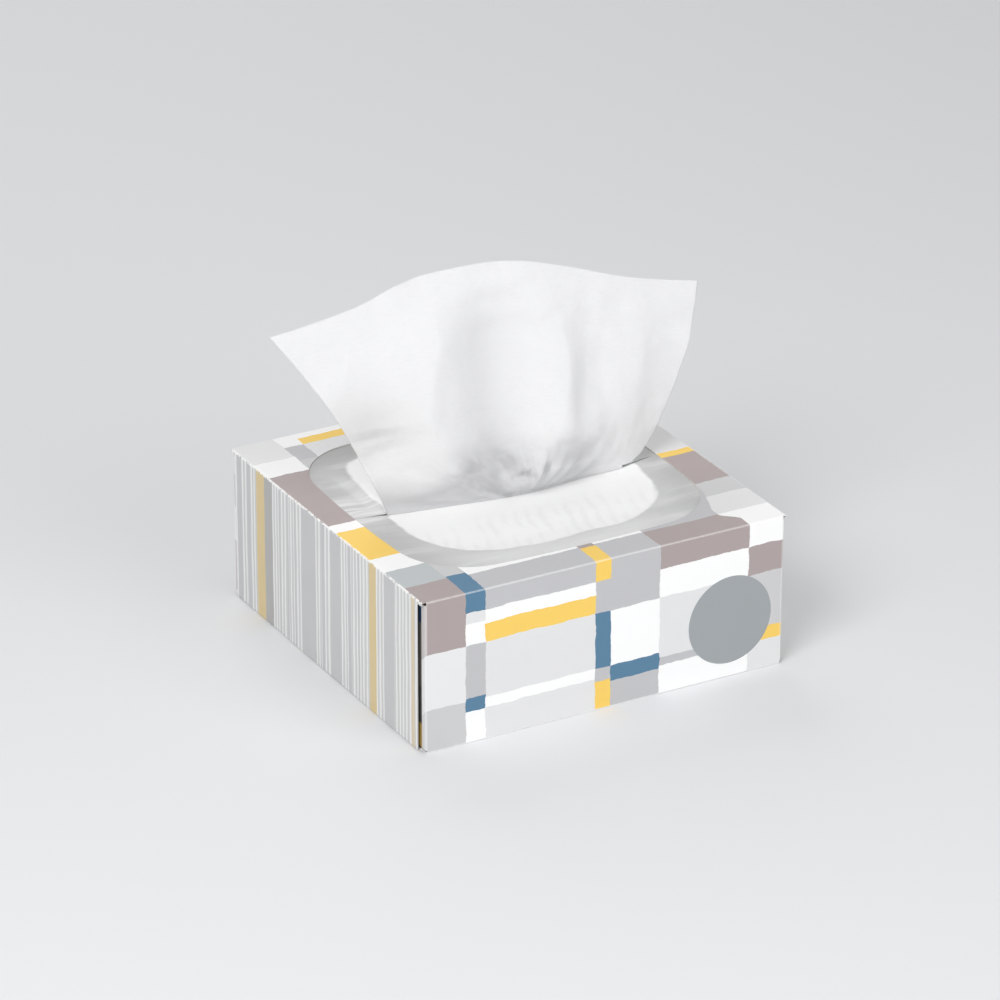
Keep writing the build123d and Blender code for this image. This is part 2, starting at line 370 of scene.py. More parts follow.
def printed_board(p):
    """Coated board: a hand-drawn plaid wrapped over the panels, and upright stripes on both ends."""
    w = Wiring(bpy.data.materials.new("printed_board"))
    place, x, y, z = w.place()
    half_length, half_width, height = HALF_LENGTH / MM, HALF_WIDTH / MM, HEIGHT / MM

    # Length along the wrapped print, up the front, over the top and down the back
    back_half = w.above(y, 0)
    fold = w.both(w.math("SUBTRACT", z, height), w.math("SUBTRACT", 1, w.both(back_half, 2)))
    along = w.math("ADD", w.math("ADD", y, half_width + height), fold)

    # Hand-drawn edges: both directions stray a little, each with its own slow noise
    wobble = p.wobble / MM
    drift_across = w.stretched(x, 0.02, along, 0.075, 3.1, 3.0)
    drift_along = w.stretched(x, 0.075, along, 0.02, 7.7, 3.0)
    ragged = w.stretched(x, 0.28, along, 0.28, 5.5, 2.0)
    drift_across = w.strayed(drift_across, ragged, 0.45)
    drift_along = w.strayed(drift_along, ragged, 0.45)
    across_print = w.strayed(x, drift_across, wobble)
    along_print = w.strayed(along, drift_along, wobble)

    plaid = None
    for left_edge, stops in print_columns(p):
        column = w.fields(along_print, 2 * height + 2 * half_width, stops)
        if plaid is None:
            plaid = column
        elif left_edge == LAST_COLUMN:
            # This edge bends inwards near the top panel's front corner
            inwards = w.soft_step(along, front_to_back(-109), front_to_back(-98))
            back_out = w.soft_step(along, front_to_back(-62), front_to_back(-96))
            edge = w.math("MULTIPLY_ADD", w.both(inwards, back_out), -9.0, left_edge)
            plaid = w.mix(w.above(across_print, edge), plaid, column)
        else:
            plaid = w.mix(w.above(across_print, left_edge), plaid, column)

    # Plain round field low on the right of the front panel
    from_disc = w.math("POWER", w.math("SUBTRACT", x, DISC_X), 2.0)
    up_disc = w.math("POWER", w.math("SUBTRACT", z, DISC_Z), 2.0)
    in_disc = w.below(w.math("ADD", from_disc, up_disc), (p.disc_radius / MM) ** 2)
    on_front = w.below(y, -half_width + 0.6)
    plaid = w.mix(w.both(in_disc, on_front), plaid, p.disc_grey)

    # Upright stripes of the ends, with drawn white lines in the light ones
    end_drift = w.stretched(y, 0.05, z, 0.04, 1.3, 2.0)
    stripe_place = w.strayed(y, end_drift, wobble * 0.5)
    stripe_place = w.math("ADD", stripe_place, half_width)
    stripes = w.fields(stripe_place, 2 * half_width, end_stripes(p))
    is_light = w.fields(stripe_place, 2 * half_width, light_stripes(p))
    spread = w.stretched(stripe_place, 0.09, z, 0.006, 4.4, 2.0)
    turns = w.math("MULTIPLY_ADD", spread, 7.0, w.both(stripe_place, 2 * math.pi / p.line_pitch * MM))
    thick = w.stretched(stripe_place, 0.3, z, 0.05, 8.8, 2.0)
    line = w.above(w.math("SINE", turns), w.math("MULTIPLY_ADD", thick, 1.1, -0.35))
    stripes = w.mix(w.both(line, is_light), stripes, p.end_line)

    # Painted shadow: the dust flaps' print in the slots at the corners is painted dark as if in deep shade,
    # away from the panel's own fold
    slot_x = half_length - 0.7
    fold_y = half_width - 4.2
    flap_shade_stops = [
        (0, paint(168, 140, 72)), (17, paint(70, 69, 66)), (40, paint(88, 84, 80)), (80, paint(30, 52, 78)),
        (90, paint(26, 28, 32)),
    ]
    flap_print_in_shade = w.fields(z, height, flap_shade_stops)
    beyond = w.math("ABSOLUTE", x)
    aside = w.math("ABSOLUTE", y)
    stripes = w.mix(w.above(beyond, slot_x), flap_print_in_shade, stripes)

    on_end = w.above(beyond, half_length - 2.5)
    behind_slot = w.both(w.below(beyond, slot_x), w.above(aside, fold_y))
    on_end = w.both(on_end, w.math("SUBTRACT", 1, behind_slot))
    ends = w.both(on_end, w.below(z, height - 0.02))
    top_edge = w.both(w.above(z, height - 0.75), w.below(beyond, half_length - 0.35))
    ends = w.both(ends, w.math("SUBTRACT", 1, top_edge))
    ink = w.mix(ends, plaid, stripes)

    # Ink cracks along the ends' top folds and shows white board
    wear = w.noise(place, 0.42, 4.0, 0.65)
    end_fold = w.both(w.above(beyond, half_length - 0.95), w.above(z, height - 0.85))
    crack = w.both(end_fold, w.soft_step(wear, 0.42, 0.5))
    ink = w.mix(w.both(crack, 0.9), ink, paint(252, 252, 251))
    # Painted highlight: beside each upright fold, next to the slots, the print is paled as if lit
    upright_fold = w.both(w.above(aside, fold_y), w.above(beyond, half_length - 3.1))
    upright_fold = w.both(upright_fold, w.below(beyond, slot_x))
    painted_fold_highlight = w.both(upright_fold, w.below(z, height - 1.2))
    ink = w.mix(w.both(painted_fold_highlight, 0.45), ink, paint(236, 236, 236))
    # Along the long top edges the ink is partly rubbed off and partly painted as a highlight on the fold
    long_fold = w.both(w.above(aside, half_width - 0.8), w.above(z, height - 0.8))
    rubbed_and_highlight = w.both(long_fold, w.math("MULTIPLY_ADD", wear, 0.35, 0.12))
    ink = w.mix(rubbed_and_highlight, ink, paint(250, 250, 249))

    # Underside is plain coated white; inner faces and cut edges are raw board
    bottom = w.both(w.below(z, 0.9), w.below(beyond, half_length - 0.9))
    ink = w.mix(bottom, ink, p.white)
    normal = w.node("ShaderNodeTexCoord").outputs["Normal"]
    from_middle = w.node("ShaderNodeVectorMath", {0: place, 1: (0, 0, height / 2)}, operation="SUBTRACT")
    facing = {0: normal, 1: from_middle.outputs[0]}
    outward = w.node("ShaderNodeVectorMath", facing, operation="DOT_PRODUCT").outputs["Value"]
    fibres = w.noise(w.vector(w.both(x, 1.2), w.both(y, 0.25), w.both(z, 0.6)), 1.0, 4.0, 0.6)
    raw = w.mix(w.soft_step(fibres, 0.35, 0.7), p.raw_board, paint(242, 240, 236))
    tint = w.mix(w.above(outward, 0), raw, ink)

    # Ink lies a little unevenly, and the board's fibres show in the coating
    mottle = w.noise(place, 0.09, 3.0)
    uneven = w.math("MULTIPLY_ADD", mottle, 0.10, -0.03, clamp=True)
    tint = w.mix(uneven, tint, paint(228, 226, 222), "MULTIPLY")
    grain = w.noise(place, 2.2, 3.0, 0.6)
    gloss = w.math("MULTIPLY_ADD", mottle, 0.16, 0.36)
    shader = w.node(
        "ShaderNodeBsdfPrincipled",
        {
            "Base Color": tint,
            "Roughness": gloss,
            "Specular IOR Level": 0.25,
            "Normal": w.bump(grain, 0.00002, 0.6),
        },
    )
    return w.finish(shader)


def frosted_film(f):
    """Frosted film: painted shade makes it grey where it stands clear, streaked with painted highlights and
    shade, and white where it lies on the sheets.
    """
    w = Wiring(bpy.data.materials.new("frosted_film"))
    place, x, y, z = w.place()
    slow = w.noise(place, 0.035, 3.0)
    stray = w.math("SUBTRACT", slow, 0.5)

    # In front of the slit the sheets touch the film over a long patch with rounded ends
    patch = w.rounded(w.ratio(x, -0.5, 80.0), 3.2, w.ratio(y, -12.0, 66.0), 2.6)
    patch = w.math("ADD", patch, w.both(stray, 0.35))
    touching_front = w.both(w.soft_step(patch, 1.05, 0.93), w.below(y, SLIT_Y / MM + 6))

    # Behind the slit the raised sheet's tail lies under the film
    tail = w.rounded(w.ratio(x, -3.0, 75.0), 5.0, w.ratio(y, 8.0, 68.0), 4.0)
    tail = w.math("ADD", tail, w.both(stray, 0.5))
    touching_back = w.both(w.soft_step(tail, 1.12, 0.9), w.above(y, SLIT_Y / MM + 6))
    touching = w.math("MAXIMUM", touching_front, touching_back)

    # Painted shade: slack film is grey, darker towards the window's ends and its back rim, with a few soft
    # streaks of painted highlight and painted shade
    streaks = w.stretched(x, 0.016, y, 0.085, 2.2, 4.0, 0.55)
    ends = w.soft_step(w.off(x, -2.0), 62.0, 98.0)
    rear = w.soft_step(y, 20.0, 92.0)
    deep_shade_mask = w.math("MAXIMUM", w.both(ends, 0.7), rear)
    shade = w.mix(deep_shade_mask, f.tint, f.painted_deep_shade)
    shade = w.mix(w.both(w.soft_step(streaks, 0.5, 0.72), 0.5), shade, paint(238, 238, 238))
    dark = w.stretched(x, 0.02, y, 0.05, 9.1, 3.0)
    shade = w.mix(w.both(w.soft_step(dark, 0.5, 0.7), 0.3), shade, paint(184, 185, 185))

    # Painted light: the front rim is paler in the middle
    front_rim = w.both(w.soft_step(y, -62.0, -84.0), w.soft_step(w.off(x, -8.0), 68.0, 40.0))
    shade = w.mix(w.both(front_rim, 0.7), shade, paint(246, 246, 246))

    # Painted highlights: light streaks beside the slit's left end run along it
    beside_place = w.vector(w.both(x, 0.03), w.math("MULTIPLY_ADD", x, 0.05, w.both(y, 0.3)), 3.7)
    beside = w.noise(beside_place, 1.0, 3.0, 0.55)
    near_x = w.soft_step(w.off(x, -90.0), 26.0, 8.0)
    near_y = w.soft_step(w.off(y, 8.0), 24.0, 8.0)
    painted_streak_highlight = w.math("MULTIPLY_ADD", w.soft_step(beside, 0.42, 0.62), 0.7, 0.3)
    shade = w.mix(w.both(w.both(near_x, near_y), painted_streak_highlight), shade, paint(247, 247, 247))
    tint = w.mix(touching, shade, f.touching_tint)

    # Faint ribs of the sheets show through where the film lies on them
    rib_stray = w.stretched(x, 0.05, y, 0.04, 6.1, 2.0)
    leaning = w.math("ADD", w.both(x, 0.78), w.math("MULTIPLY_ADD", y, -0.22, w.both(rib_stray, 9.0)))
    ribs = w.soft_step(w.math("SINE", leaning), -0.3, 1.0)
    ribs = w.both(ribs, w.both(w.soft_step(rib_stray, 0.36, 0.56), w.soft_step(y, -26.0, -44.0)))
    tint = w.mix(w.both(w.both(touching, ribs), 0.15), tint, paint(206, 206, 206))

    opacity = w.math("MULTIPLY_ADD", streaks, 0.16, f.opacity - 0.08)
    opacity = w.math("MULTIPLY_ADD", touching, 0.3, opacity, clamp=True)
    crinkle = w.noise(w.vector(w.both(x, 0.06), w.both(y, 0.22), w.both(z, 0.1)), 1.0, 4.0, 0.55)
    frost = w.noise(place, 1.6, 2.0)
    height = w.math("MULTIPLY_ADD", frost, 0.12, crinkle)
    shader = w.node(
        "ShaderNodeBsdfPrincipled",
        {
            "Base Color": tint,
            "Roughness": w.math("MULTIPLY_ADD", frost, 0.12, 0.3),
            "Specular IOR Level": 0.5,
            "Alpha": opacity,
            "Normal": w.bump(height, 0.0005, 0.5),
        },
    )
    return w.finish(shader)


def painted_fold_shade(w, x, z):
    """Painted shade: how grey the sheet is painted where its plies are crushed and where less light reaches
    it.
    """
    rise = w.math("SUBTRACT", z, HEIGHT / MM)
    angle = w.math("ARCTAN2", w.math("SUBTRACT", x, 6.0), w.math("ADD", rise, 12.0))
    rays = w.stretched(angle, 4.2, rise, 0.045, 2.9, 3.0, 0.6)
    pockets = w.stretched(x, 0.06, rise, 0.09, 7.4, 2.0)

    # Painted shade in the crushed pleats in the middle, in a low band along the slit and in a hollow to the
    # right of the gather
    streaked = w.both(w.soft_step(rays, 0.36, 0.62), w.soft_step(pockets, 0.3, 0.6))
    crushed = w.both(w.bell(w.ratio(x, -6.0, 44.0)), w.soft_step(rise, 40.0, 14.0))
    crushed = w.both(crushed, w.math("MULTIPLY_ADD", streaked, 0.8, 0.3))
    low = w.both(w.soft_step(rise, 25.0, 6.0), w.math("MULTIPLY_ADD", rays, 0.9, 0.25))
    low = w.both(low, w.soft_step(x, 60.0, 38.0))
    hollow = w.bell(w.ratio(x, 33.0, 19.0), w.ratio(rise, 19.0, 9.5))
    hollow = w.both(hollow, w.math("MULTIPLY_ADD", rays, 0.6, 0.45))
    gathered = w.math("MAXIMUM", w.math("MAXIMUM", crushed, low), hollow)

    # Painted shade on the bent middle, most of all near the slit, and on the slack lower part of the left
    # wing
    straightened = w.math("MULTIPLY_ADD", rise, -0.15, x)
    near_slit = w.both(w.bell(w.ratio(rise, 20.0, 27.0)), w.math("MULTIPLY_ADD", rays, 0.45, 0.2))
    bent = w.both(w.bell(w.ratio(straightened, -27.0, 20.0)), w.math("ADD", near_slit, 0.22))
    bent = w.both(w.both(bent, w.soft_step(rise, 122.0, 96.0)), w.soft_step(rise, 3.0, 20.0))
    wing = w.bell(w.ratio(x, -92.0, 21.0), w.ratio(rise, 48.0, 25.0))
    return w.math("ADD", gathered, w.math("MULTIPLY_ADD", wing, 0.34, bent), clamp=True)


def tissue_paper(name, tissue, translucency, along_x):
    """Soft crepe: fine strokes across the sheet, a faint fibre cloud and light passing through."""
    w = Wiring(bpy.data.materials.new(name))
    place, x, y, z = w.place()
    if along_x:
        crepe_place = w.vector(w.both(x, 0.22), w.both(y, 0.5), w.both(z, 1.1))
    else:
        crepe_place = w.vector(w.both(x, 1.1), w.both(y, 0.22), w.both(z, 0.5))
    crepe = w.noise(crepe_place, 1.0, 5.0, 0.62)
    fibres = w.noise(place, 0.9, 4.0, 0.7)
    cloud = w.noise(place, 0.06, 3.0)
    tint = w.mix(w.both(w.soft_step(crepe, 0.48, 0.74), 0.14), tissue, paint(218, 218, 220))
    tint = w.mix(w.both(w.soft_step(cloud, 0.45, 0.7), 0.06), tint, paint(232, 232, 235))
    # Painted shade greys the raised sheet's gather, its band along the slit and its folds
    if along_x:
        tint = w.mix(w.both(painted_fold_shade(w, x, z), 0.62), tint, paint(168, 168, 171))
    height = w.math("MULTIPLY_ADD", fibres, 0.35, crepe)
    normal = w.bump(height, 0.00022, 0.55)
    surface = w.node(
        "ShaderNodeBsdfPrincipled",
        {
            "Base Color": tint,
            "Roughness": 0.92,
            "Specular IOR Level": 0.18,
            "Sheen Weight": 0.25,
            "Sheen Roughness": 0.6,
            "Normal": normal,
        },
    )
    if not translucency:
        return w.finish(surface)
    passing = w.node("ShaderNodeBsdfTranslucent", {"Color": tint, "Normal": normal})
    shaders = {0: translucency, 1: surface.outputs[0], 2: passing.outputs[0]}
    return w.finish(w.node("ShaderNodeMixShader", shaders))


def pale_floor(tint):
    """Matt floor with a faint cloudiness."""
    w = Wiring(bpy.data.materials.new("pale_floor"))
    place = w.place()[0]
    cloud = w.noise(place, 0.004, 2.0)
    made = w.mix(w.both(cloud, 0.04), tint, paint(226, 226, 228))
    return w.finish(w.node("ShaderNodeBsdfPrincipled", {"Base Color": made, "Roughness": 0.75}))


def new_piece(name, vertices, faces, material):
    """Add a smooth-shaded mesh object whose vertices are already in place."""
    mesh = bpy.data.meshes.new(name)
    mesh.from_pydata(vertices, [], faces)
    mesh.validate()
    mesh.shade_smooth()
    mesh.materials.append(material)
    made = bpy.data.objects.new(name, mesh)
    bpy.context.scene.collection.objects.link(made)
    return made


def grid_faces(columns, rows, start=0):
    """Quads of a grid whose vertices run down each column in turn."""
    corners = [start + c * rows + r for c in range(columns - 1) for r in range(rows - 1)]
    return [(here, here + rows, here + rows + 1, here + 1) for here in corners]


def ease(value):
    """Smooth step from 0 to 1."""
    value = min(max(value, 0.0), 1.0)
    return value * value * (3 - 2 * value)


def bell(value, middle, reach):
    """1 at the middle, falling away smoothly on both sides."""
    return math.exp(-(((value - middle) / reach) ** 2))


def window_depth(x, y):
    """0 on the window's outline, 1 at its middle, and less than 0 outside."""
    across = abs(x - WINDOW_CENTRE.x) / WINDOW_HALF.x
    back = abs(y - WINDOW_CENTRE.y) / WINDOW_HALF.y
    return 1 - (across**WINDOW_ROUNDNESS + back**WINDOW_ROUNDNESS) ** (1 / WINDOW_ROUNDNESS)


def film_height(x, y, f):
    """Height of the film: flat where it is glued, slack inside the window, pushed up at the slit."""
    line = slit_line(x)
    sag = f.front_sag if y < line else f.back_sag
    depth = ease(window_depth(x, y) / 0.34)
    ripple = 0.25 * MM * noise.noise(Vector((x * 22, y * 60, 0.3))) * depth
    nearness = bell(y, line, 10 * MM)
    middle = max(0.0, 1 - ((x - WINDOW_CENTRE.x) / SLIT_HALF) ** 2)
    lip = f.lip_rise * nearness * middle**0.7

    # The raised sheet's tail lifts the film behind the slit, near its left side
    if y > line:
        beside = ease((x / MM + 86) / 9) * bell(max(x / MM + 77, 0), 0, 26)
        lip += f.tail_rise * beside * ease((y - line) / (9 * MM)) * ease((62 * MM - y) / (30 * MM))
    glue = 0.06 * MM
    return FILM_HIGH.z - glue - sag * depth + ripple + lip


def between(knots, value):
    """Run smoothly through knots of place and amount, level at each one."""
    for (start, low), (end, high) in zip(knots, knots[1:]):
        if value <= end:
            return low + (high - low) * ease((value - start) / (end - start))
    return knots[-1][1]


# Places along the slit, left to right, and where it runs from front to back there, in millimetres
SLIT_LINE = ((-110, -2.5), (9, -18), (56, -14), (106, -9))


def slit_line(x):
    """Where the slit runs from front to back, pushed out of line by the gathered sheet."""
    return between(SLIT_LINE, x / MM) * MM


def slit_gap(x, side):
    """From the slit's line to one of its edges: close to the sheet between them, nearly shut beyond it."""
    inside = ease((x / MM + 82) / 2.5) * ease((73.5 - x / MM) / 3)
    return (0.06 + (0.24 if side < 0 else 0.5) * inside) * MM


def make_film(f):
    """Two halves of film that meet beyond the slit's ends."""
    columns, rows = 150, 60
    vertices = []
    faces = []
    for far_y, side in ((FILM_LOW.y, -1), (FILM_HIGH.y, 1)):
        start = len(vertices)
        for c in range(columns):
            x = FILM_LOW.x + (FILM_HIGH.x - FILM_LOW.x) * c / (columns - 1)
            near_y = slit_line(x) + side * slit_gap(x, side)
            for r in range(rows):
                step = (r / (rows - 1)) ** 1.5
                y = near_y + (far_y - near_y) * step
                vertices.append((x, y, film_height(x, y, f)))
        quads = grid_faces(columns, rows, start)
        faces += quads if side > 0 else [quad[::-1] for quad in quads]
    return new_piece("frosted_film", vertices, faces, frosted_film(f))


def stack_top(x, y, s):
    """Height of the top sheet of the stack: flat in the middle, falling to the sides, softly ribbed."""
    crown = STACK_HIGH.z
    side_drop = 7 * MM
    rib_width = 3.6 * MM
    fall_x = ease((abs(x) - 70 * MM) / (45 * MM))
    fall_y = ease((abs(y + 3 * MM) - 68 * MM) / (48 * MM))
    soft = 0.35 * MM * noise.noise(Vector((x * 28, y * 28, 5.1)))
    rib = s.rib * math.sin(x / rib_width * math.pi) * (0.4 + noise.noise(Vector((x * 30, y * 45, 1.2))))
    return crown - side_drop * max(fall_x, fall_y) - 0.5 * MM + soft + rib


def make_stack(s):
    """Interfolded sheets: a soft crowned top and a pile of folded edges round the sides."""
    across = 120
    up = 58
    half_x, half_y = STACK_HIGH.x, STACK_HIGH.y
    corners = [(-half_x, -half_y), (half_x, -half_y), (half_x, half_y), (-half_x, half_y)]
    ring = []
    for (x, y), (next_x, next_y) in zip(corners, corners[1:] + corners[:1]):
        for c in range(across):
            ring.append((x + (next_x - x) * c / across, y + (next_y - y) * c / across))
    vertices = []
    for x, y in ring:
        outward = Vector((x, y, 0)).normalized()
        for r in range(up + 1):
            rise = r / up
            z = STACK_LOW.z + (stack_top(x, y, s) - STACK_LOW.z) * rise
            fold = abs(math.sin(math.pi * z / s.layer))
            ragged = noise.noise(Vector((x * 60, y * 60, z * 500)))
            inset = (0.4 + 0.5 * fold + 0.5 * ragged) * MM if 0 < r < up else 0.9 * MM
            vertices.append((x - outward.x * inset, y - outward.y * inset, z))
    count = len(ring)
    rows = up + 1
    faces = []
    for c in range(count):
        here, after = c * rows, (c + 1) % count * rows
        for r in range(up):
            faces.append((here + r, after + r, after + r + 1, here + r + 1))
    faces.append([c * rows for c in range(count)][::-1])
    start = len(vertices)
    for i in range(1, across):
        for j in range(1, across):
            x = -half_x + 2 * half_x * i / across
            y = -half_y + 2 * half_y * j / across
            vertices.append((x, y, stack_top(x, y, s)))

    def top_vertex(i, j):
        if j == 0:
            c = i
        elif i == across:
            c = across + j
        elif j == across:
            c = 3 * across - i
        elif i == 0:
            c = 4 * across - j
        else:
            return start + (i - 1) * (across - 1) + j - 1
        return c % count * rows + up

    for i in range(across):
        for j in range(across):
            quad = ((i, j), (i + 1, j), (i + 1, j + 1), (i, j + 1))
            faces.append([top_vertex(*corner) for corner in quad])
    material = tissue_paper("stacked_tissue", s.tissue, 0, False)
    return new_piece("interfolded_sheets", vertices, faces, material)


def swell(rise, height):
    """Rise from nothing at the slit to 1 at height, and die away above it."""
    return rise / height * math.exp(1 - rise / height)


# Each fold in millimetres: crispness, reach to the right and to the left, then places across and above
# the slit with the height there, below 0 where the sheet goes back
SOFT_FOLDS = (
    # The left wing's ridges and hollow, and the middle's hollow and ridge
    (1.4, 23, 28, (
        (-35, 128, 1), (-39, 117, 4), (-42, 107, 7.6), (-44, 94, 10.2), (-48, 80, 10.2),
        (-52, 66, 9.8), (-54, 52, 8.8), (-52, 38, 7.6), (-46, 24, 5), (-38, 12, 0),
    )),
    (2.0, 22, 30, ((-50, 80, 0), (-66, 73, 2.6), (-84, 68, 4.6), (-102, 70, 3), (-116, 78, 0))),
    (2.0, 19, 17, ((-80, 52, -1.5), (-79, 43, -5), (-76, 34, -7), (-70, 24, -5.4), (-61, 12, 0))),
    (2.0, 25, 22, (
        (-6, 124, -0.5), (-5, 108, -5.8), (-6, 92, -9), (-7, 70, -9.2),
        (-10, 50, -8), (-12, 34, -5.4), (-12, 18, 0),
    )),
    (1.4, 13, 34, (
        (26, 124, 0), (29, 108, 3), (32.5, 92, 5), (33.5, 76, 5.6), (32, 64, 5.6),
        (28, 52, 5.2), (22, 41, 4.6), (15, 31, 3.6), (10, 22, 2),
    )),

    # The right wing's hollows and ridge, and a thin ridge at the left wing's side
    (2.0, 19, 11, ((46, 104, 0), (49, 84, -2.6), (48, 64, -3.4), (43, 48, -3.2), (35, 34, -1.4))),
    (2.0, 15, 26, (
        (76, 106, 0), (79, 90, 1.8), (80, 72, 2.8), (79, 54, 3.2), (75, 38, 2.8), (64, 18, 1),
    )),
    (2.0, 12, 13, ((102, 94, 0), (101, 76, -1.9), (97, 56, -2.2), (90, 36, -1.8), (80, 16, -0.5))),
    (2.0, 12, 14, ((-110, 104, 1), (-106, 92, 2.2), (-102, 76, 1.8), (-97, 62, 0.5))),

    # A short one below the upper edge, and two low ones beside the gather
    (1.6, 9, 12, ((15, 124, 0), (19, 114, 1.6), (23, 105, 1.4), (25, 97, 0))),
    (2.0, 11, 13, ((16, 37, 2.6), (30, 38, 3.4), (44, 35, 3.2), (56, 27, 1.6), (64, 20, 0))),
    (2.0, 10, 12, ((-34, 29, 1), (-22, 32, 2.4), (-10, 33, 2.2), (-2, 31, 0.8))),
)

# The same for the short creases and the pockets where the sheet is gathered
GATHERS = (
    (1.6, 3.2, 3.6, ((-54, 24, 0), (-43, 16, 1.6), (-35, 10, 2.2), (-27, 4, 1.5), (-23, 1, 0.6))),
    (1.6, 2.6, 3.0, ((-27, 20, 0.3), (-21, 13.5, 2.2), (-16.5, 8, 2.4), (-12.5, 3, 1.4), (-11, 1, 0.6))),
    (1.6, 2.2, 2.6, ((-36, 27, 0), (-31, 20, 1.2), (-26, 13, 1.3), (-22, 8, 0.8), (-18, 2, 0.4))),
    (2.0, 4.0, 4.0, ((-8, 6, 1.7), (-2, 7, 2), (4, 7.5, 1.7))),
    (1.6, 2.8, 3.4, ((13, 30, 0.5), (10, 21, 2), (7.5, 13, 2.6), (6, 7, 2.2), (5, 2, 1))),
    (1.6, 2.4, 3.0, ((25, 23, 0), (20, 14, 1.6), (14, 6, 1.6), (11, 1, 0.6))),
    (1.6, 2.8, 3.2, ((38, 24, 0), (30, 14, 1.5), (22, 5, 1.2), (18, 1, 0.5))),
    (1.6, 3.0, 3.4, ((52, 20, 0), (43, 11, 1.3), (33, 2, 0.7))),
    (1.8, 3.2, 3.6, ((-70, 15, 0), (-61, 9, 1.1), (-51, 2, 0.6))),
    (1.8, 3.0, 3.0, ((-46, 32, 0), (-40, 24, 1), (-33, 17, 0.8))),
    (2.0, 4.5, 4.5, ((-31, 18, -1.6), (-29, 14, -1.8))),
    (2.0, 5.0, 5.0, ((-15, 25, -2.2), (-13, 18, -2.6))),
    (2.0, 3.2, 3.2, ((-23, 7, -1.4), (-19, 5, -1.4))),
    (2.0, 2.8, 2.8, ((-6, 12.5, -1.5), (1, 13.5, -1.5))),
    (2.0, 5.0, 5.0, ((24, 28, -1.6), (34, 27, -1.2), (46, 20, -2))),
)


def fold_height(x, rise, folds):
    """Sum of how far the folds bring the sheet forward, each falling away to the sides of its run."""
    total = 0.0
    for crispness, right_reach, left_reach, run in folds:
        best = None
        for (x0, z0, h0), (x1, z1, h1) in zip(run, run[1:]):
            dx, dz = x1 - x0, z1 - z0
            t = min(max(((x - x0) * dx + (rise - z0) * dz) / (dx * dx + dz * dz), 0.0), 1.0)
            away_x, away_z = x - x0 - t * dx, rise - z0 - t * dz
            distance = math.hypot(away_x, away_z)
            if best is None or distance < best[0]:
                side = (away_x * dz - away_z * dx) / (distance * math.hypot(dx, dz) + 1e-9)
                best = (distance, side, h0 + (h1 - h0) * ease(t))
        distance, side, height = best
        reach = right_reach + (left_reach - right_reach) * ease((1 + side) / 2)
        total += height * math.exp(-((distance / reach) ** crispness))
    return total


def through(knots, value):
    """Run smoothly through knots of place and amount, with the slope of the neighbours at each one."""
    last = len(knots) - 1
    i = 0
    while i < last - 1 and value > knots[i + 1][0]:
        i += 1
    before, start, end, after = knots[max(i - 1, 0)], knots[i], knots[i + 1], knots[min(i + 2, last)]
    span = end[0] - start[0]
    t = (value - start[0]) / span
    slope_in = (end[1] - before[1]) / (end[0] - before[0]) * span
    slope_out = (after[1] - start[1]) / (after[0] - start[0]) * span
    rise = start[1] * (2 * t**3 - 3 * t**2 + 1) + end[1] * (3 * t**2 - 2 * t**3)
    return rise + slope_in * (t**3 - 2 * t**2 + t) + slope_out * (t**3 - t**2)


# Places across the sheet, from -1 to 1, and the rise of its upper edge there in millimetres
UPPER_EDGE = (
    (-1, 108.8), (-0.8, 112.8), (-0.6, 117.6), (-0.48, 121.6), (-0.36, 127.2), (-0.2, 132.2), (0, 134.7),
    (0.2, 134), (0.4, 126.4), (0.6, 117.2), (0.8, 110.6), (1, 106.3),
)


def foot_place(across):
    """Where in millimetres the sheet's column leaves the slit, left to right."""
    return FOOT_LEFT + FOOT_WIDTH * (across + 1) / 2


def sheet_place(across, rise, edge_rise, s):
    """Place a point of the raised sheet, from -1 to 1 across, in millimetres above the top panel."""
    share_up = rise / CORNER_RISE
    left_x = FOOT_LEFT - 55 * (0.6 * share_up + 0.4 * share_up**2)
    right_x = FOOT_LEFT + FOOT_WIDTH + 47.5 * share_up**0.45 + 4.6 * bell(rise, 68, 36) * ease(rise / 20)
    x = left_x + (right_x - left_x) * (across + 1) / 2
    foot_x = foot_place(across)
    up = rise / edge_rise

    # The sheet bellies forward above the slit and leans back above that, more at the left
    stand = min(share_up, 1.0)
    y = (1 - stand) * slit_line(foot_x * MM) / MM + stand * (SLIT_Y / MM) + share_up * (20 - 20 * across)
    clear = max(rise - 1.2, 0.0)
    gathered = bell(x, 10, 48)
    belly_rise = 22 + 13 * gathered
    forward = swell(rise + 0.8, belly_rise) - swell(0.8, belly_rise)
    y -= s.belly / MM * (0.5 + 0.5 * gathered) * forward * (1 - across**4)
    calm = 1 - 0.6 * ease((up - 0.7) / 0.3)
    y -= s.fold_depth / MM / FOLD_DEPTH * fold_height(x, rise, SOFT_FOLDS) * ease(clear / 12) * calm

    # Short creases fan out from the slit where the sheet is gathered
    y -= s.crumple / MM / CRUMPLE_HEIGHT * fold_height(x, rise, GATHERS) * ease(clear / 2)
    crushed = 1 - 2 * abs(noise.noise(Vector((x * 0.12, rise * 0.10, 4.1))))
    near_gather = bell(x, 12, 34) * math.exp(-rise / 16) * ease(clear / 4)
    y -= 1.2 * crushed * near_gather

    # Slow waves everywhere, with finer ones close to the slit
    soft = noise.noise(Vector((x * 0.03, rise * 0.025, 2.5)))
    slack = noise.noise(Vector((x * 0.07, rise * 0.05, 6.3)))
    fine = noise.noise(Vector((x * 0.16, rise * 0.12, 8.2)))
    waves = (1.4 * soft + 0.8 * slack) * ease(rise / 30)
    y += waves + (0.2 + 0.3 * math.exp(-rise / 25)) * fine * ease(rise / 6)
    return Vector((x, y, HEIGHT / MM + rise)) * MM


